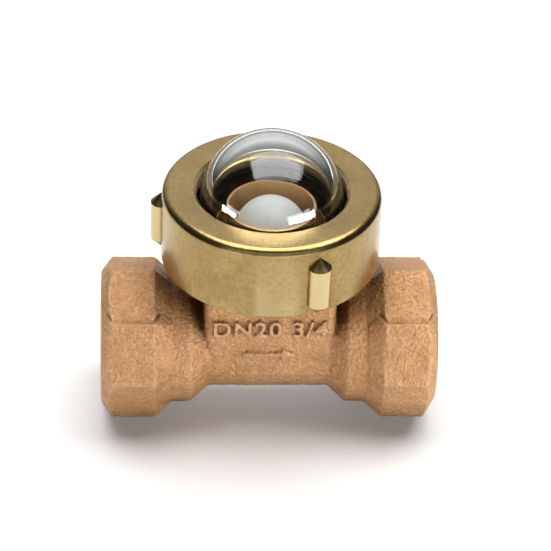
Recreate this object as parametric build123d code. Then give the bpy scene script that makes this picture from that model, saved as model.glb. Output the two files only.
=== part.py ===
"""Ball-type dome sight glass for 3/4 inch pipe.

Water enters at the inlet port, rises through the cup in the middle, lifts the ball where it can
be seen through the glass dome, falls round the outside of the cup and leaves by the outlet port.

The frame: origin at the centre of the inlet port's face, +X along the flow, +Z up the dome.
Each piece is built about the dome's axis and moved along the run as it is written. Sizes in mm.
"""
from build123d import *
import math
import os

# Driving dimensions
face_to_face = 80.0
pipe_crest_r = 12.25        # crest radius of the G 3/4 female threads
across_flats = 36.0         # wrench octagon
slab_half_y = 11.6          # flat-sided neck
tube_r = 11.75              # round middle of the run, which the neck stands on
nut_r = 25.7
nut_top = 43.0
nut_bottom = 24.4
nut_hole_r = 17.7
nut_pitch = 2.0
first_lug = -66.8           # azimuth from +X, a little to the right of the front
lug_r = 2.8
boss_thread_r = 22.9        # M46 x 2, crest of the boss's thread
thread_start = 37.0         # degrees round the axis
glass_r = 17.0
glass_wall = 2.9
ball_r = 8.9

# Run of the body, measured along the flow from the dome's axis
half_length = face_to_face / 2
octagon_inner = 27.2        # where the octagon's full section ends
ramp_foot = 23.0            # where its corner ramps meet the collar
collar_inner = 18.6
tube_end = 14.4
slab_half_x = 15.6
apothem = across_flats / 2
corner_r = apothem / math.cos(math.radians(22.5))
collar_r = 15.6
port_face_r = 15.2
port_chamfer = 2.8
port_bevel = 0.5

# Inside of the body
bore_r = 9.3
cast_wall = 2.3
socket_depth = 16.0
thread_depth = 14.0
relief_r = pipe_crest_r + 1.1
chamber_r = 14.4
boss_top = 31.8
groove_foot = 22.35         # where the boss's thread groove starts, below the boss
bridge_top = 19.6           # the cup stands on this
seat_depth = 5.0
riser_r = 6.6
seat_r = 7.6
ring_r = 9.0                # wall round the riser
duct_top = 13.0
partition_left = 3.0
partition_right = 5.0

# Stack under the nut's lip, from the top down
lip = 3.0
washer_t = 0.8
upper_gasket_t = 1.2
flange_t = 4.5
washer_top = nut_top - lip
gasket_top = washer_top - washer_t
flange_top = gasket_top - upper_gasket_t
flange_bottom = flange_top - flange_t
flange_r = 21.3
glass_centre = 39.5
glass_junction = 1.2        # fillet from dome to flange

# Cup, pin and ball
cup_r = 10.7
cup_wall = 0.7
cup_floor_t = 0.8
cup_top = 38.6
pin_r = 0.6
pin_z = bridge_top + cup_floor_t + pin_r
ball_gap = 0.05
ball_z = pin_z + pin_r + ball_gap + ball_r


def turned(*corners, rounds=()):
    """Solid of revolution from (radius, height) corners; rounds is (corner number, radius) pairs."""
    outline = make_face(Polyline(*corners, close=True))
    for number, radius in rounds:
        nearest = outline.vertices().sort_by_distance((*corners[number], 0))[0]
        outline = fillet(nearest, radius)
    return revolve(Plane.XZ * outline, Axis.Z)


def ring(outer, inner, bottom, top):
    """Plain ring about the dome's axis."""
    height = top - bottom
    solid = Cylinder(outer, height) - Cylinder(inner, height)
    return Pos(0, 0, bottom + height / 2) * solid


def run_turned(*corners):
    """Solid of revolution about the run, from (distance along the run, radius) corners."""
    return revolve(Plane.XZ * make_face(Polyline(*corners, close=True)), Axis.X)


def rounded_block(x_range, half_y, z_range, radius):
    """Upright block with rounded vertical edges."""
    length = x_range[1] - x_range[0]
    height = z_range[1] - z_range[0]
    outline = RectangleRounded(length, 2 * half_y, radius)
    centre = (x_range[0] + x_range[1]) / 2
    return Pos(centre, 0, z_range[0]) * extrude(outline, height)


def thread_groove(radius, depth, root_width, pitch, bottom, top):
    """Helical V groove about +Z, cut from radius by depth outwards, or inwards if negative."""
    skin = -math.copysign(0.08, depth)      # starts a little clear of the surface it cuts
    slope = math.tan(math.radians(30))
    half_root = root_width / 2
    half_mouth = half_root + (abs(depth) + abs(skin)) * slope
    path = Helix(pitch, top - bottom, radius)
    outline = Polyline(
        (skin, -half_mouth), (depth, -half_root), (depth, half_root), (skin, half_mouth), close=True
    )
    section = Plane(path @ 0, x_dir=(1, 0, 0), z_dir=(0, -1, 0)) * make_face(outline)
    return Pos(0, 0, bottom) * Rot(0, 0, thread_start) * sweep(section, path, is_frenet=True)


def wrench_end():
    """Octagonal end, its corner ramps, the cone under them and the collar, on the +X side."""
    octagon = RegularPolygon(corner_r, 8)
    prism = extrude(Plane.YZ.offset(octagon_inner) * octagon, half_length - octagon_inner)
    foot = RegularPolygon(collar_r + 0.1, 8)
    ramps = loft([Plane.YZ.offset(ramp_foot) * foot, Plane.YZ.offset(octagon_inner) * octagon])
    chamfer_slope = (corner_r - port_face_r) / port_chamfer
    reach = 6.0
    envelope = run_turned(
        (0, 0),
        (half_length, 0),
        (half_length, port_face_r),
        (half_length - reach, port_face_r + reach * chamfer_slope),
        (0, port_face_r + reach * chamfer_slope),
    )
    collar = run_turned(
        (0, 0),
        (octagon_inner, 0),
        (octagon_inner, apothem - 0.1),
        (ramp_foot, collar_r),
        (collar_inner, collar_r),
        (tube_end, tube_r),
        (0, tube_r),
    )
    return (prism + ramps + collar) & envelope


def bowl():
    """Round underside that carries the threaded boss."""
    flank = Polyline((0, 12), (10, 13), (12, 15))
    curve = ThreePointArc((12, 15), (17.2, 18.8), (21.7, 23.4))
    top = Polyline((21.7, 23.4), (21.7, 25), (0, 25), (0, 12))
    return revolve(Plane.XZ * make_face([*flank.edges(), curve, *top.edges()]), Axis.Z)


def boss():
    """Threaded boss with a runout under the thread and a bevelled lead at its top."""
    blank = turned(
        (0, 24.9), (boss_thread_r - 1.2, 24.9), (boss_thread_r, 26.1),
        (boss_thread_r, boss_top - 0.8), (boss_thread_r - 0.8, boss_top), (0, boss_top),
    )
    return blank - thread_groove(boss_thread_r, -1.18, 0.5, nut_pitch, groove_foot, boss_top + 1.5)


def port_cavity(bore_start):
    """Socket, thread relief and run bore on the +X side, to take away. Its wall is at the crests."""
    step = half_length - socket_depth
    thread_end = half_length - thread_depth
    return run_turned(
        (bore_start, 0),
        (bore_start, bore_r),
        (step - 2.0, bore_r),
        (step, pipe_crest_r),
        (step, relief_r),
        (thread_end, relief_r),
        (thread_end, pipe_crest_r),
        (half_length - port_bevel, pipe_crest_r),
        (half_length, pipe_crest_r + 2 * port_bevel),
        (half_length + 1, pipe_crest_r + 2 * port_bevel),
        (half_length + 1, 0),
    )


def inlet_passage():
    """From the inlet bore up under the cup."""
    reach = slab_half_x - cast_wall
    duct = rounded_block((-reach, partition_left), slab_half_y - cast_wall, (0, duct_top), 3)
    riser = Pos(0, 0, (duct_top + bridge_top) / 2) * Cylinder(riser_r, bridge_top - duct_top + 1)
    seat = ring(seat_r, riser_r - 1, bridge_top - seat_depth, bridge_top + 1)
    return duct + riser + seat


def outlet_passage():
    """From the chamber, down beside the riser and into the outlet bore."""
    reach = slab_half_x - cast_wall
    fall = rounded_block((partition_right, reach), slab_half_y - cast_wall, (0, 24), 2.4)
    chamber = turned(
        (0, bridge_top), (11.8, bridge_top), (chamber_r, 22.2), (chamber_r, boss_top + 1),
        (0, boss_top + 1),
    )
    return fall - ring(ring_r, 0, 11, bridge_top) + chamber


def flow_arrow():
    """Raised arrow on the front face, pointing along the flow."""
    outline = Polyline(
        (-6.0, -0.6), (3.2, -0.6), (3.2, -1.7), (6.6, 0), (3.2, 1.7), (3.2, 0.6), (-6.0, 0.6),
        close=True,
    )
    face = Plane((0, -slab_half_y, 3.4), x_dir=(1, 0, 0), z_dir=(0, -1, 0))
    return extrude(face * make_face(outline), 0.5, both=True)


def body():
    """Bronze casting with its threads and passages."""
    end = wrench_end()
    slab = rounded_block((-slab_half_x, slab_half_x), slab_half_y, (-3, 24), 2)
    casting = end + mirror(end, Plane.YZ) + slab + bowl() + boss() + flow_arrow()
    casting -= inlet_passage()
    casting -= outlet_passage()
    casting -= port_cavity(partition_right)
    return casting - Rot(0, 0, 180) * port_cavity(-partition_left)


def lug(azimuth):
    """One spanner lug on the nut: an upright round ridge with pointed ends."""
    top = nut_top - 3.0
    ridge = turned((0, nut_bottom), (lug_r, nut_bottom + lug_r), (lug_r, top - lug_r), (0, top))
    return Rot(0, 0, azimuth) * Pos(nut_r - 0.1, 0, 0) * ridge


def ring_nut():
    """Brass ring nut: lip, rounded rim, three lugs and an M46 x 2 thread inside."""
    crest_r = 22.05
    thread_top = 33.0
    relief_top = 35.4
    hole_bevel = 0.7
    rim_round = 1.9
    foot_round = 0.4
    blank = turned(
        (0, nut_bottom), (nut_r, nut_bottom), (nut_r, nut_top), (0, nut_top),
        rounds=((2, rim_round), (1, foot_round)),
    )
    for number in range(3):
        blank += lug(first_lug + number * 120)
    cavity = turned(
        (0, nut_bottom - 1), (23.2, nut_bottom - 1), (23.2, nut_bottom), (crest_r, nut_bottom + 1.1),
        (crest_r, thread_top), (23.15, thread_top), (23.15, relief_top), (crest_r, relief_top),
        (crest_r, washer_top), (nut_hole_r, washer_top), (nut_hole_r, nut_top - hole_bevel),
        (nut_hole_r + hole_bevel, nut_top), (nut_hole_r + hole_bevel, nut_top + 1), (0, nut_top + 1),
    )
    start = groove_foot + nut_pitch / 2     # half a turn out of step: the boss's ridges fit it
    groove = thread_groove(crest_r, 1.05, 0.26, nut_pitch, start, relief_top - 1.4)
    return blank - cavity - groove


def dome_glass():
    """Thick glass dome with a flange at its foot."""
    inner_r = glass_r - glass_wall
    skirt = turned(
        (inner_r, flange_bottom), (flange_r, flange_bottom), (flange_r, flange_top),
        (glass_r, flange_top), (glass_r, glass_centre), (inner_r, glass_centre),
        rounds=((1, 0.6), (2, 0.6), (3, glass_junction)),
    )
    shell = Sphere(glass_r) - Sphere(inner_r)
    shell &= Pos(0, 0, glass_r) * Box(3 * glass_r, 3 * glass_r, 2 * glass_r)
    return skirt + Pos(0, 0, glass_centre) * shell


def riser_cup():
    """Thin cup with a shank pressed into the bridge."""
    inner_r = cup_r - cup_wall
    floor = bridge_top + cup_floor_t
    shank_bottom = bridge_top - seat_depth + 0.2
    cup = turned(
        (riser_r, shank_bottom), (seat_r, shank_bottom), (seat_r, bridge_top),
        (cup_r, bridge_top), (cup_r, cup_top), (inner_r, cup_top), (inner_r, floor),
        (riser_r, floor), rounds=((4, 0.2), (3, 0.5)),
    )
    return cup - Pos(0, 0, pin_z) * Rot(90, 0, 0) * Cylinder(pin_r, 3 * cup_r)


def ball_rest_pin():
    """Cross pin through the cup's wall."""
    return Pos(0, 0, pin_z) * Rot(90, 0, 0) * Cylinder(pin_r, 2 * cup_r - 0.6)


def flow_ball():
    """Solid ball, at rest on its pin."""
    return Pos(0, 0, ball_z) * Sphere(ball_r)


pieces = {
    "body": body(),
    "ring_nut": ring_nut(),
    "dome_glass": dome_glass(),
    "riser_cup": riser_cup(),
    "ball_rest_pin": ball_rest_pin(),
    "flow_ball": flow_ball(),
    "lower_gasket": ring(flange_r - 0.1, chamber_r + 0.2, boss_top, flange_bottom),
    "upper_gasket": ring(flange_r - 0.1, glass_r + glass_junction + 0.2, flange_top, gasket_top),
    "slip_washer": ring(flange_r, nut_hole_r + 0.1, gasket_top, washer_top),
}

os.makedirs("parts", exist_ok=True)
for name, piece in pieces.items():
    export_step(Pos(half_length, 0, 0) * piece, f"parts/{name}.step")
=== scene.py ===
"""Looks of the dome sight glass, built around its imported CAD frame.

Metres, +X along the flow, +Z up the dome's axis. Sizes come from the frame's own boxes.
"""
import math

import bmesh
import bpy
import numpy as np
from mathutils import Matrix, Vector, noise


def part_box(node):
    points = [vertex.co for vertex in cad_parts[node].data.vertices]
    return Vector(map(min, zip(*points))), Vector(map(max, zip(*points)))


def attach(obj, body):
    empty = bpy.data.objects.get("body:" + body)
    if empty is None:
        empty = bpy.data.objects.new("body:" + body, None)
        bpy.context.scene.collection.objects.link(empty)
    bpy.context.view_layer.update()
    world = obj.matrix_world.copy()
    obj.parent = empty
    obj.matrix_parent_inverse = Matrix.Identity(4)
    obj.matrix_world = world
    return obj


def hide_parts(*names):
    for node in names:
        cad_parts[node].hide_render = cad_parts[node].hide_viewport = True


MM = 0.001

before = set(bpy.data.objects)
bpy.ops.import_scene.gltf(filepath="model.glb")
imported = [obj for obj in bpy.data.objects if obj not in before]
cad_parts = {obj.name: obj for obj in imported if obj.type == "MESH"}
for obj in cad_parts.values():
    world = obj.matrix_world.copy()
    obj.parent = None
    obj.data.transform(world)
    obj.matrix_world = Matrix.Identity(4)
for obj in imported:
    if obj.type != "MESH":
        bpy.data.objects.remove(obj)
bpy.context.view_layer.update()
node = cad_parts

# Places that the frame gives
low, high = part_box("body")
mid_x = (low.x + high.x) / 2                    # the dome's axis
boss_r = high.y
octagon_r = -low.z                              # to its corners, one of which points down
crease_z = octagon_r * math.sin(math.pi / 4)    # the octagons' upper edges, front and back
glass_low, glass_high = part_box("dome_glass")

# Places on the body that its box doesn't give
boss_foot = 24.7 * MM
neck_y = -11.6 * MM                             # the neck's flat front
marks_reach = 14.5 * MM                         # how far the marks go to each side of mid_x
marks_back = neck_y + 1.0 * MM                  # the marks and their face are in front of this


# ---------------------------------------------------------------- material helpers
class Nodes:
    """Short names for building one material's node tree."""

    def __init__(self, name):
        self.material = bpy.data.materials.new(name + "_look")
        self.material.use_nodes = True
        self.tree = self.material.node_tree
        self.tree.nodes.clear()
        self.place = self.add("ShaderNodeTexCoord").outputs["Object"]
        self.shader = self.add("ShaderNodeBsdfPrincipled")
        output = self.add("ShaderNodeOutputMaterial")
        self.link(self.shader.outputs[0], output.inputs["Surface"])

    def add(self, kind, **settings):
        made = self.tree.nodes.new(kind)
        for key, value in settings.items():
            setattr(made, key, value)
        return made

    def link(self, source, target):
        self.tree.links.new(source, target)

    def put(self, socket, value):
        """Sets a socket to a number or colour, or links it to an output."""
        if isinstance(value, bpy.types.NodeSocket):
            self.link(value, socket)
        else:
            socket.default_value = value

    def noise(self, scale, detail, roughness, place=None):
        made = self.add("ShaderNodeTexNoise")
        self.link(place or self.place, made.inputs["Vector"])
        made.inputs["Scale"].default_value = scale
        made.inputs["Detail"].default_value = detail
        made.inputs["Roughness"].default_value = roughness
        return made.outputs["Fac"]

    def cells(self, scale):
        made = self.add("ShaderNodeTexVoronoi")
        self.link(self.place, made.inputs["Vector"])
        made.inputs["Scale"].default_value = scale
        return made.outputs["Distance"]

    def span(self, value, start, end, out_start=0.0, out_end=1.0):
        """Maps value from start..end to out_start..out_end, held at the ends."""
        made = self.add("ShaderNodeMapRange")
        self.put(made.inputs["Value"], value)
        made.inputs["From Min"].default_value = start
        made.inputs["From Max"].default_value = end
        made.inputs["To Min"].default_value = out_start
        made.inputs["To Max"].default_value = out_end
        return made.outputs["Result"]

    def math(self, operation, first, second=0.0):
        made = self.add("ShaderNodeMath", operation=operation)
        self.put(made.inputs[0], first)
        self.put(made.inputs[1], second)
        return made.outputs[0]

    def mix(self, factor, first, second):
        """Mixes two colours."""
        made = self.add("ShaderNodeMix", data_type="RGBA")
        self.put(made.inputs["Factor"], factor)
        self.put(made.inputs[6], first)
        self.put(made.inputs[7], second)
        return made.outputs[2]

    def tint(self, base, mask, strength, paint):
        """Brings base as near to paint as strength where mask is 1."""
        return self.mix(self.math("MULTIPLY", mask, strength), base, paint)

    def axis(self, name, place=None):
        """One coordinate of a place, by default of the surface in metres."""
        made = self.add("ShaderNodeSeparateXYZ")
        self.link(place or self.place, made.inputs[0])
        return made.outputs[name]

    def moved(self, offset, stretch=(1, 1, 1)):
        """The surface's place, stretched and then offset."""
        made = self.add("ShaderNodeMapping", vector_type="POINT")
        self.link(self.place, made.inputs["Vector"])
        made.inputs["Location"].default_value = offset
        made.inputs["Scale"].default_value = stretch
        return made.outputs["Vector"]

    def bump(self, height, distance, strength, normal=None):
        made = self.add("ShaderNodeBump")
        made.inputs["Strength"].default_value = strength
        made.inputs["Distance"].default_value = distance
        self.link(height, made.inputs["Height"])
        if normal is not None:
            self.link(normal, made.inputs["Normal"])
        return made.outputs["Normal"]

    def curved(self, start, end):
        """Maps the mesh's curvature, 0.5 on flats, more on outer edges and less in hollows."""
        point = self.add("ShaderNodeNewGeometry").outputs["Pointiness"]
        return self.span(point, start, end)

    def occluded(self, distance, open_at, shut_at):
        """1 deep in recesses and 0 in the open."""
        made = self.add("ShaderNodeAmbientOcclusion", samples=8)
        made.inputs["Distance"].default_value = distance
        return self.span(made.outputs["AO"], open_at, shut_at)

    def facing_up(self, start, end):
        """Maps how far the surface looks up, which is 1 on level tops."""
        normal = self.add("ShaderNodeNewGeometry").outputs["True Normal"]
        return self.span(self.axis("Z", normal), start, end)

    def radius(self, axis):
        """Distance from the upright axis of the dome, Z, or from that of the run, X."""
        if axis == "Z":
            place = self.moved((-mid_x, 0, 0), (1, 1, 0))
        else:
            place = self.moved((0, 0, 0), (0, 1, 1))
        length = self.add("ShaderNodeVectorMath", operation="LENGTH")
        self.link(place, length.inputs[0])
        return length.outputs["Value"]

    def set(self, **values):
        for key, value in values.items():
            self.put(self.shader.inputs[key.replace("_", " ")], value)


def colour(red, green, blue):
    """An opaque colour, in linear light."""
    return (red, green, blue, 1.0)


# ---------------------------------------------------------------- materials
def tool_cut(m):
    """1 on the casting's end faces, in its ports and on its threaded boss, which a tool cut."""
    from_mid = m.math("ABSOLUTE", m.axis("X", m.moved((-mid_x, 0, 0))))
    end_face = m.span(from_mid, mid_x - 0.30 * MM, mid_x - 0.20 * MM)
    port_length = m.span(from_mid, 24 * MM, 25 * MM)
    port_wall = m.span(m.radius("X"), 14.2 * MM, 13.9 * MM)
    port = m.math("MULTIPLY", port_length, port_wall)
    boss = m.span(m.axis("Z"), boss_foot - 0.1 * MM, boss_foot + 0.1 * MM)
    return m.math("MAXIMUM", m.math("MAXIMUM", end_face, port), boss)


def chamber_mouth(m):
    """1 inside the top of the casting, around the riser."""
    near_axis = m.span(m.radius("Z"), 16.5 * MM, 15.5 * MM)
    return m.math("MULTIPLY", near_axis, m.span(m.axis("Z"), 18 * MM, 19 * MM))


def cast_bronze():
    """Sand-cast, shot-blasted gunmetal: grainy peach-brown, with painted shade in hollows and
    recesses, and paler edges that are partly wear and partly painted highlight.
    """
    m = Nodes("cast_bronze")
    grain = m.noise(1250, 3, 0.6)
    pits = m.cells(1000)
    mottle = m.noise(260, 4, 0.6)
    cloud = m.noise(60, 2, 0.5)
    cut = tool_cut(m)

    # Mottled metal, paler in clouds and darker between the grains
    base = m.mix(m.span(mottle, 0.3, 0.7), colour(0.45, 0.228, 0.090), colour(0.59, 0.320, 0.144))
    base = m.mix(m.span(cloud, 0.35, 0.65, 0.0, 0.40), base, colour(0.72, 0.43, 0.23))
    base = m.mix(m.span(grain, 0.30, 0.60, 0.45, 0.0), base, colour(0.28, 0.13, 0.045))
    # Paler on outer edges: partly rubbed wear, partly a painted highlight
    base = m.tint(base, m.curved(0.505, 0.56), 0.35, colour(0.92, 0.66, 0.45))
    # Painted shade in hollows and creases
    base = m.tint(base, m.curved(0.495, 0.44), 0.6, colour(0.30, 0.14, 0.06))
    # Painted shade deep in recesses, such as under the nut and in the ports
    base = m.tint(base, m.occluded(16 * MM, 0.82, 0.38), 0.9, colour(0.17, 0.080, 0.018))
    # Painted shade in crevices, such as round the raised marks
    base = m.tint(base, m.occluded(1.2 * MM, 0.85, 0.45), 0.85, colour(0.13, 0.050, 0.014))
    # Bare metal where it is kept clean or a tool has cut it
    base = m.mix(chamber_mouth(m), base, colour(0.75, 0.48, 0.20))
    base = m.tint(base, cut, 0.7, colour(0.66, 0.40, 0.19))

    uncut = m.span(cut, 0, 1, 1, 0.12)
    grained = m.bump(m.math("MULTIPLY", grain, uncut), 0.65 * MM, 0.9)
    pitted = m.bump(m.math("MULTIPLY", pits, uncut), 0.35 * MM, 0.6, grained)
    cast_rough = m.span(grain, 0.3, 0.7, 0.56, 0.40)
    cut_rough = m.span(cloud, 0.3, 0.7, 0.26, 0.34)
    m.set(
        Base_Color=base, Metallic=m.span(cut, 0, 1, 0.60, 0.95),
        Roughness=m.mix(cut, cast_rough, cut_rough), Normal=pitted,
    )
    return m.material


def turned_brass():
    """Turned brass, satin, with fine lathe lines about the dome's axis and a slight tarnish."""
    m = Nodes("turned_brass")
    tarnish = m.noise(120, 4, 0.6)
    speck = m.noise(900, 3, 0.6)
    lines = m.noise(40, 3, 0.6, m.moved((-mid_x, 0, 0), (1, 1, 60)))
    dents = m.noise(750, 3, 0.6)
    # A painted highlight on the side's outer edges, partly rubbed wear, kept off the top
    side_edge = m.math("MULTIPLY", m.curved(0.505, 0.56), m.facing_up(0.9, 0.6))
    bore = m.math("MULTIPLY", m.span(m.radius("Z"), 18.3 * MM, 18.0 * MM), m.facing_up(0.6, 0.3))
    # Painted shade in the corners, faint in the nut's bore
    corner_shade = m.math("MULTIPLY", m.occluded(3 * MM, 0.7, 0.2), m.span(bore, 0, 1, 0.7, 0.1))
    top = m.facing_up(0.90, 0.99)

    # Tarnished and specked, paler on top, paler on the side's edges with rubbed wear and a painted
    # highlight, and with painted shade in the corners
    base = m.mix(m.span(tarnish, 0.3, 0.7), colour(0.28, 0.188, 0.064), colour(0.42, 0.288, 0.110))
    base = m.mix(m.span(speck, 0.45, 0.65, 0.0, 0.6), base, colour(0.23, 0.147, 0.047))
    base = m.tint(base, side_edge, 0.5, colour(0.92, 0.76, 0.44))
    base = m.mix(corner_shade, base, colour(0.16, 0.10, 0.03))
    base = m.tint(base, top, 0.30, colour(0.58, 0.43, 0.22))

    rough = m.math("ADD", m.span(tarnish, 0.3, 0.7, 0.22, 0.28), m.math("MULTIPLY", top, 0.03))
    rough = m.math("ADD", rough, m.math("MULTIPLY", bore, 0.30))
    lined = m.bump(lines, 0.02 * MM, 0.3)
    m.set(
        Base_Color=base, Metallic=1.0, Roughness=rough,
        Normal=m.bump(dents, 0.05 * MM, 0.35, lined),
    )
    return m.material


def clear_glass():
    """Thick pressed glass, faintly grey-green and a little uneven in tint."""
    m = Nodes("clear_glass")
    film = m.noise(90, 3, 0.5)
    tint = m.mix(m.span(film, 0.3, 0.7), colour(0.90, 0.925, 0.92), colour(0.93, 0.945, 0.94))
    m.set(Base_Color=tint, Roughness=0.0, IOR=1.5, Transmission_Weight=1.0, Specular_IOR_Level=0.8)
    return m.material


def cup_bronze():
    """Turned bronze cup with fine rings from the tool."""
    m = Nodes("cup_bronze")
    rings = m.noise(60, 2, 0.5, m.moved((-mid_x, 0, 0), (1, 1, 40)))
    tarnish = m.noise(200, 3, 0.6)
    base = m.mix(m.span(tarnish, 0.3, 0.7), colour(0.72, 0.45, 0.21), colour(0.88, 0.60, 0.33))
    m.set(Base_Color=base, Metallic=0.9, Roughness=0.32, Normal=m.bump(rings, 0.02 * MM, 0.5))
    return m.material


def white_ptfe():
    """Matte white plastic with a few faint marks."""
    m = Nodes("white_ptfe")
    marks = m.noise(400, 4, 0.65)
    base = m.mix(m.span(marks, 0.4, 0.75), colour(0.80, 0.80, 0.77), colour(0.70, 0.70, 0.67))
    m.set(
        Base_Color=base, Roughness=m.span(marks, 0.3, 0.7, 0.5, 0.65),
        Subsurface_Weight=0.08, Normal=m.bump(marks, 0.03 * MM, 0.3),
    )
    m.shader.inputs["Subsurface Radius"].default_value = (MM, MM, MM)
    return m.material


def gasket_rubber(dark, pale):
    """Dark rubber with paler fibre flecks."""
    m = Nodes("gasket_rubber")
    flecks = m.noise(1800, 3, 0.6)
    base = m.mix(m.span(flecks, 0.4, 0.8), dark, pale)
    m.set(Base_Color=base, Roughness=0.75, Normal=m.bump(flecks, 0.04 * MM, 0.5))
    return m.material


def stainless():
    """Bright rolled steel with a fine brushed grain."""
    m = Nodes("stainless")
    brush = m.noise(90, 3, 0.6, m.moved((0, 0, 0), (1, 14, 14)))
    base = m.mix(m.span(brush, 0.3, 0.7), colour(0.50, 0.50, 0.49), colour(0.66, 0.66, 0.65))
    m.set(Base_Color=base, Metallic=1.0, Roughness=0.30, Normal=m.bump(brush, 0.01 * MM, 0.4))
    return m.material


# ---------------------------------------------------------------- mesh helpers
def give(obj, material):
    """Puts one material on the whole of obj."""
    obj.data.materials.clear()
    obj.data.materials.append(material)
    for face in obj.data.polygons:
        face.material_index = 0


def settle(obj):
    """Turns obj's modifiers into mesh."""
    graph = bpy.context.evaluated_depsgraph_get()
    mesh = bpy.data.meshes.new_from_object(obj.evaluated_get(graph))
    obj.modifiers.clear()
    obj.data = mesh


def copy_of(name, new_name):
    """A copy of a CAD node's mesh as an object of its own."""
    mesh = node[name].data.copy()
    obj = bpy.data.objects.new(new_name, mesh)
    bpy.context.scene.collection.objects.link(obj)
    return obj


def points(obj):
    """The places of obj's vertices, a row each."""
    co = np.empty(len(obj.data.vertices) * 3, np.float32)
    obj.data.vertices.foreach_get("co", co)
    return co.reshape(-1, 3).astype(float)


def place_points(obj, co):
    """Moves obj's vertices to the rows of co."""
    obj.data.vertices.foreach_set("co", co.astype(np.float32).ravel())
    obj.data.update()


# ---------------------------------------------------------------- pieces
def machined(co):
    """1 where a tool cuts the casting: its ports, end faces, boss and chamber's mouth."""
    x, y, z = co[:, 0], co[:, 1], co[:, 2]
    run_r = np.hypot(y, z)
    dome_r = np.hypot(x - mid_x, y)
    from_end = np.minimum(x - low.x, high.x - x)
    end_face = from_end < 0.2 * MM
    port = (from_end < 16.3 * MM) & (run_r < 14.3 * MM)
    boss = (z > boss_foot) & (dome_r < boss_r + 0.4 * MM)
    chamber = (z > 19.4 * MM) & (dome_r < 15.0 * MM)
    return (port | end_face | boss | chamber).astype(float)


def soft_waist(co):
    """1 between the octagons, where the corners are widely rounded, but 0 on the marks."""
    from_mid = np.abs(co[:, 0] - mid_x)
    marks = (from_mid < marks_reach) & (co[:, 1] < marks_back)
    return ((from_mid < 26.5 * MM) & ~marks).astype(float)


def pipe_thread(co):
    """Cuts each port's G 3/4 thread, a right-hand helix, out of its plain wall."""
    pitch = 1.814 * MM
    depth = 1.05 * MM
    length = 14.0 * MM
    crest_r = 12.25 * MM
    wall = 0.25 * MM                # how far from crest_r a point may be and still be on the wall
    x, y, z = co[:, 0], co[:, 1], co[:, 2]
    run_r = np.hypot(y, z)
    for end, outward in ((low.x, -1), (high.x, 1)):
        inward = (end - x) * outward
        on_wall = (np.abs(run_r - crest_r) < wall) & (inward > 0.1 * MM) & (inward < length)
        turn = np.arctan2(z, y * outward) / (2 * math.pi)
        phase = (inward / pitch + turn) % 1.0
        groove = np.clip(1.25 - 3.25 * np.abs(phase - 0.5), 0, 1)
        fade = np.clip((length - inward) / pitch, 0, 1)
        grow = 1 + depth * groove * fade / np.maximum(run_r, MM)
        co[on_wall, 1] *= grow[on_wall]
        co[on_wall, 2] *= grow[on_wall]
    return co


def cast_mark(text, height, relief):
    """Raised pipe size on the front of the neck, as a mesh that overlaps the casting."""
    font_ratio = 1.38               # the font's size over its capitals' height
    words = bpy.data.curves.new("cast_mark", "FONT")
    words.body = text
    words.size = height * font_ratio
    words.align_x = "CENTER"
    words.align_y = "CENTER"
    words.offset = 0.16 * MM        # makes the strokes bolder
    words.space_character = 1.12
    words.extrude = relief
    obj = bpy.data.objects.new("cast_mark", words)
    bpy.context.scene.collection.objects.link(obj)
    obj.rotation_euler = (math.pi / 2, 0, 0)
    obj.location = (mid_x, neck_y, 10.7 * MM)
    graph = bpy.context.evaluated_depsgraph_get()
    mesh = bpy.data.meshes.new_from_object(obj.evaluated_get(graph))
    mesh.transform(obj.matrix_world)
    bpy.data.objects.remove(obj)
    return mesh


def arrow_mark(relief):
    """The cast flow arrow below the size mark, as a mesh that overlaps the casting."""
    height = 3.4                    # its middle above the run's axis, in mm like the outline
    tail, neck, tip = -6.2, 3.2, 6.6
    shaft, barb = 0.5, 1.6
    outline = [
        (tail, -shaft), (neck, -shaft), (neck, -barb), (tip, 0),
        (neck, barb), (neck, shaft), (tail, shaft),
    ]
    count = len(outline)
    corners = [
        (mid_x + x * MM, neck_y + side * relief, (height + z) * MM)
        for side in (-1, 1) for x, z in outline
    ]
    faces = [tuple(range(count)), tuple(range(2 * count - 1, count - 1, -1))]
    for i in range(count):
        j = (i + 1) % count
        faces.append((j, i, count + i, count + j))
    mesh = bpy.data.meshes.new("arrow_mark")
    mesh.from_pydata(corners, [], faces)
    return mesh


def joined(obj, mesh):
    """Adds a loose mesh to obj's."""
    work = bmesh.new()
    work.from_mesh(obj.data)
    work.from_mesh(mesh)
    work.to_mesh(obj.data)
    work.free()


def lumps(co, normals, cast):
    """The uneven skin of a sand casting, as true relief where the body isn't machined.

    The octagons have a groove along their upper edges and a small step below it, where the
    mould parted. Heights are in mm.
    """
    fine, broad = 0.10, 0.09
    on_marks = 0.4                  # as far as the relief shows around the marks
    groove, groove_width, step = 0.50, 0.32 * MM, 0.10
    groove_z = crease_z + 0.30 * MM
    for index in np.nonzero(cast > 0.5)[0]:
        point = Vector(co[index])
        rise = noise.noise(point * 1000) * fine + noise.noise(point * 330) * broad
        from_mid = abs(point.x - mid_x)
        if from_mid < marks_reach and point.y < marks_back:
            rise *= on_marks
        if from_mid > 23.5 * MM and abs(point.y) > 10 * MM:
            from_line = (point.z - groove_z) / groove_width
            rise -= groove * math.exp(-from_line * from_line)
            rise += step if point.z < crease_z else 0
        co[index] += normals[index] * rise * MM
    return co


def soften(obj, name, mask, rounds):
    """Rounds obj's corners off where mask is 1, once obj is settled."""
    group = obj.vertex_groups.new(name=name)
    group.add([int(i) for i in np.nonzero(mask)[0]], 1.0, "REPLACE")
    smooth = obj.modifiers.new("soften", "SMOOTH")
    smooth.factor = 0.5
    smooth.iterations = rounds
    smooth.vertex_group = name


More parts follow.
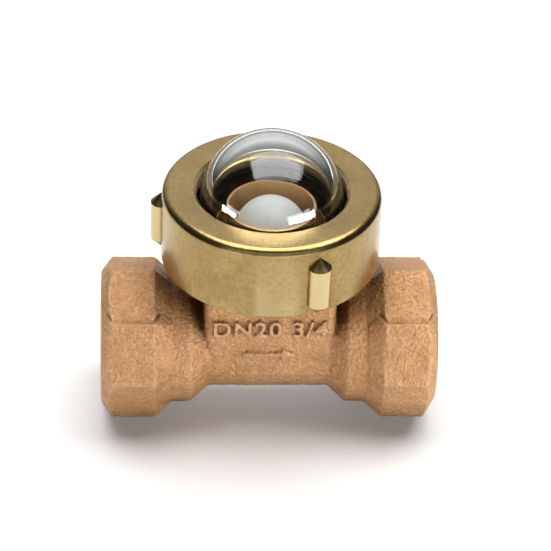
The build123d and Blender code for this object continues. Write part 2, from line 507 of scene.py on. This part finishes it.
def casting():
    """The body as a casting: softened edges and a sand-cast skin around its machined faces."""
    obj = copy_of("body", "casting")
    joined(obj, cast_mark("DN20 3/4", 4.4 * MM, 0.90 * MM))
    joined(obj, arrow_mark(0.75 * MM))
    remesh = obj.modifiers.new("skin", "REMESH")
    remesh.mode = "VOXEL"
    remesh.voxel_size = 0.30 * MM
    settle(obj)
    co = points(obj)
    cast = 1 - machined(co)
    place_points(obj, pipe_thread(co))
    soften(obj, "cast", cast, 4)
    soften(obj, "waist", cast * soft_waist(co), 6)
    settle(obj)
    normals = np.array([v.normal for v in obj.data.vertices])
    place_points(obj, lumps(points(obj), normals, cast))
    thin = obj.modifiers.new("thin", "DECIMATE")
    thin.ratio = 0.30
    settle(obj)
    for face in obj.data.polygons:
        face.use_smooth = True
    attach(obj, "casting")
    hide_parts("body")
    give(obj, cast_bronze())
    return obj


def lathe(name, profile, segments):
    """A closed solid turned about the dome's axis from (radius, height) points in metres."""
    work = bmesh.new()
    rings = []
    for step in range(segments):
        turn = 2 * math.pi * step / segments
        rings.append([
            work.verts.new((mid_x + r * math.cos(turn), r * math.sin(turn), z)) for r, z in profile
        ])
    for step, ring in enumerate(rings):
        after = rings[(step + 1) % segments]
        for k in range(len(profile)):
            follows = (k + 1) % len(profile)
            work.faces.new((ring[k], after[k], after[follows], ring[follows]))
    bmesh.ops.remove_doubles(work, verts=work.verts, dist=1e-7)
    bmesh.ops.dissolve_degenerate(work, edges=work.edges, dist=1e-8)
    bmesh.ops.recalc_face_normals(work, faces=work.faces)
    mesh = bpy.data.meshes.new(name)
    work.to_mesh(mesh)
    work.free()
    for face in mesh.polygons:
        face.use_smooth = True
    obj = bpy.data.objects.new(name, mesh)
    bpy.context.scene.collection.objects.link(obj)
    return obj


def arc(centre, radius, start, end, steps):
    """(radius, height) points on an arc about centre, from start to end degrees."""
    turns = [math.radians(start + (end - start) * k / steps) for k in range(steps + 1)]
    return [
        (max(0.0, centre[0] + radius * math.cos(t)), centre[1] + radius * math.sin(t))
        for t in turns
    ]


def dome():
    """The glass, turned finely enough to refract cleanly, with a soft fillet at its flange."""
    outer_r = 17.0 * MM
    inner_r = 14.1 * MM
    centre_z = glass_high.z - outer_r
    flange_r = (glass_high.x - glass_low.x) / 2
    bottom = glass_low.z
    flange_top = bottom + 4.5 * MM
    edge = 0.6 * MM                 # rounding of the flange's edges
    fillet = 1.2 * MM               # between the flange and the dome
    profile = [(inner_r, bottom), (inner_r + 2 * MM, bottom)]
    profile += arc((flange_r - edge, bottom + edge), edge, -90, 0, 6)
    profile += arc((flange_r - edge, flange_top - edge), edge, 0, 90, 6)
    profile += arc((outer_r + fillet, flange_top + fillet), fillet, 270, 180, 8)
    profile += arc((0, centre_z), outer_r, 0, 90, 64)
    profile += arc((0, centre_z), inner_r, 90, 0, 64)
    obj = lathe("dome", profile, 256)
    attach(obj, "casting")
    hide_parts("dome_glass")
    give(obj, clear_glass())
    return obj


def carried_over():
    """CAD nodes that keep their own mesh and get their material here."""
    dark_rubber = gasket_rubber(colour(0.040, 0.020, 0.008), colour(0.09, 0.050, 0.022))
    brown_rubber = gasket_rubber(colour(0.13, 0.060, 0.022), colour(0.22, 0.110, 0.045))
    steel = stainless()
    give(node["ring_nut"], turned_brass())
    give(node["riser_cup"], cup_bronze())
    give(node["flow_ball"], white_ptfe())
    give(node["upper_gasket"], dark_rubber)
    give(node["lower_gasket"], brown_rubber)
    give(node["slip_washer"], steel)
    give(node["ball_rest_pin"], steel)


cast_body = casting()
glass = dome()
carried_over()


# ---------------------------------------------------------------- stage
def on_sky(azimuth, elevation, distance):
    """A point at that distance from the object. Azimuth 0 is in front, and 90 to the right."""
    turn, lift = math.radians(azimuth), math.radians(elevation)
    way = Vector((
        math.sin(turn) * math.cos(lift), -math.cos(turn) * math.cos(lift), math.sin(lift)
    ))
    return middle + distance * way


def softbox(name, azimuth, elevation, distance, width, height, radiance):
    """An area light that faces the object. Sizes are in metres."""
    light = bpy.data.lights.new(name, "AREA")
    light.shape = "RECTANGLE"
    light.size = width
    light.size_y = height
    light.energy = radiance * math.pi * width * height
    obj = bpy.data.objects.new(name, light)
    obj.location = on_sky(azimuth, elevation, distance)
    obj.rotation_euler = (middle - obj.location).to_track_quat("-Z", "Y").to_euler()
    obj.visible_camera = False
    bpy.context.scene.collection.objects.link(obj)
    return obj


def light_only(piece, light):
    """Makes a light reach one piece and nothing else."""
    lit = bpy.data.collections.new(light.name + "_lit")
    lit.objects.link(piece)
    light.light_linking.receiver_collection = lit


def floor():
    """Matte white table."""
    reach = 0.21
    z = low.z - 0.1 * MM
    corners = [(-reach, -reach, z), (reach, -reach, z), (reach, reach, z), (-reach, reach, z)]
    mesh = bpy.data.meshes.new("floor")
    mesh.from_pydata(corners, [], [(0, 1, 2, 3)])
    obj = bpy.data.objects.new("floor", mesh)
    bpy.context.scene.collection.objects.link(obj)
    m = Nodes("floor_white")
    white = colour(0.88, 0.88, 0.88)
    m.set(Base_Color=white, Roughness=0.9, Emission_Color=white, Emission_Strength=0.17)
    mesh.materials.append(m.material)


def studio():
    """A white background, and a room for the object to reflect that is dim in front of it."""
    lift = math.radians(28)             # the room is brightest behind the object, this high up
    dimmest, brightest = 0.035, 0.80
    made = bpy.data.worlds.new("studio")
    made.use_nodes = True
    tree = made.node_tree
    where = tree.nodes.new("ShaderNodeTexCoord").outputs["Generated"]
    toward = tree.nodes.new("ShaderNodeVectorMath")
    toward.operation = "DOT_PRODUCT"
    toward.inputs[1].default_value = (0, math.cos(lift), math.sin(lift))
    tree.links.new(where, toward.inputs[0])
    room = tree.nodes.new("ShaderNodeMapRange")
    room.interpolation_type = "SMOOTHSTEP"
    room.inputs["From Min"].default_value = 0.55
    room.inputs["From Max"].default_value = 1.0
    room.inputs["To Min"].default_value = dimmest
    room.inputs["To Max"].default_value = brightest
    tree.links.new(toward.outputs["Value"], room.inputs["Value"])
    seen = tree.nodes.new("ShaderNodeLightPath").outputs["Is Camera Ray"]
    strength = tree.nodes.new("ShaderNodeMix")
    strength.data_type = "FLOAT"
    tree.links.new(seen, strength.inputs["Factor"])
    tree.links.new(room.outputs["Result"], strength.inputs[2])
    strength.inputs[3].default_value = 1.0
    background = tree.nodes["Background"]
    background.inputs["Color"].default_value = colour(1.0, 1.0, 1.0)
    tree.links.new(strength.outputs[0], background.inputs["Strength"])
    bpy.context.scene.world = made


def camera():
    """Long lens, from a little left of the front and 36 degrees above the run."""
    elevation = math.radians(35.59)
    yaw = math.radians(-3.58)
    roll = math.radians(2.12)
    distance = 0.700
    aim = Vector((mid_x, 0, 15 * MM))
    aside, above = 1.62 * MM, 2.43 * MM         # from aim to the picture's centre
    away = Vector((
        math.cos(elevation) * math.sin(yaw),
        -math.cos(elevation) * math.cos(yaw),
        math.sin(elevation),
    ))
    level_right = Vector((math.cos(yaw), math.sin(yaw), 0))
    level_up = away.cross(level_right)
    right = math.cos(roll) * level_right + math.sin(roll) * level_up
    up = math.cos(roll) * level_up - math.sin(roll) * level_right
    centre = aim + aside * right + above * up
    data = bpy.data.cameras.new("camera")
    data.sensor_width = 36
    data.lens = 191.9
    data.clip_end = 20
    obj = bpy.data.objects.new("camera", data)
    turn = Matrix((right, up, away)).transposed()
    obj.matrix_world = Matrix.Translation(centre + distance * away) @ turn.to_4x4()
    bpy.context.scene.collection.objects.link(obj)
    bpy.context.scene.camera = obj


def lights():
    """A large light above, and low ones in front and at the sides, most for one piece alone."""
    overhead = softbox("overhead", 120, 79, 0.70, 1.00, 0.56, 4.9)
    overhead.rotation_euler = (0, 0, 0)         # it looks straight down
    light_only(glass, softbox("left_strip", -70, -3, 0.36, 0.17, 0.075, 40.0))
    light_only(glass, softbox("right_strip", 44, 0, 0.36, 0.28, 0.090, 40.0))
    light_only(cast_body, softbox("left_fill", -60, -4, 0.50, 0.35, 0.20, 3.6))
    light_only(cast_body, softbox("right_fill", 52, -4, 0.50, 0.35, 0.20, 12.0))
    light_only(node["ring_nut"], softbox("rim_fill", 0, 24, 0.60, 1.20, 0.45, 0.45))
    softbox("front_strip", -3, -6.5, 0.27, 0.50, 0.014, 7.0)


middle = Vector((mid_x, 0, 20 * MM))            # what the lights face
floor()
studio()
lights()
camera()
bpy.context.scene.view_settings.view_transform = "Standard"
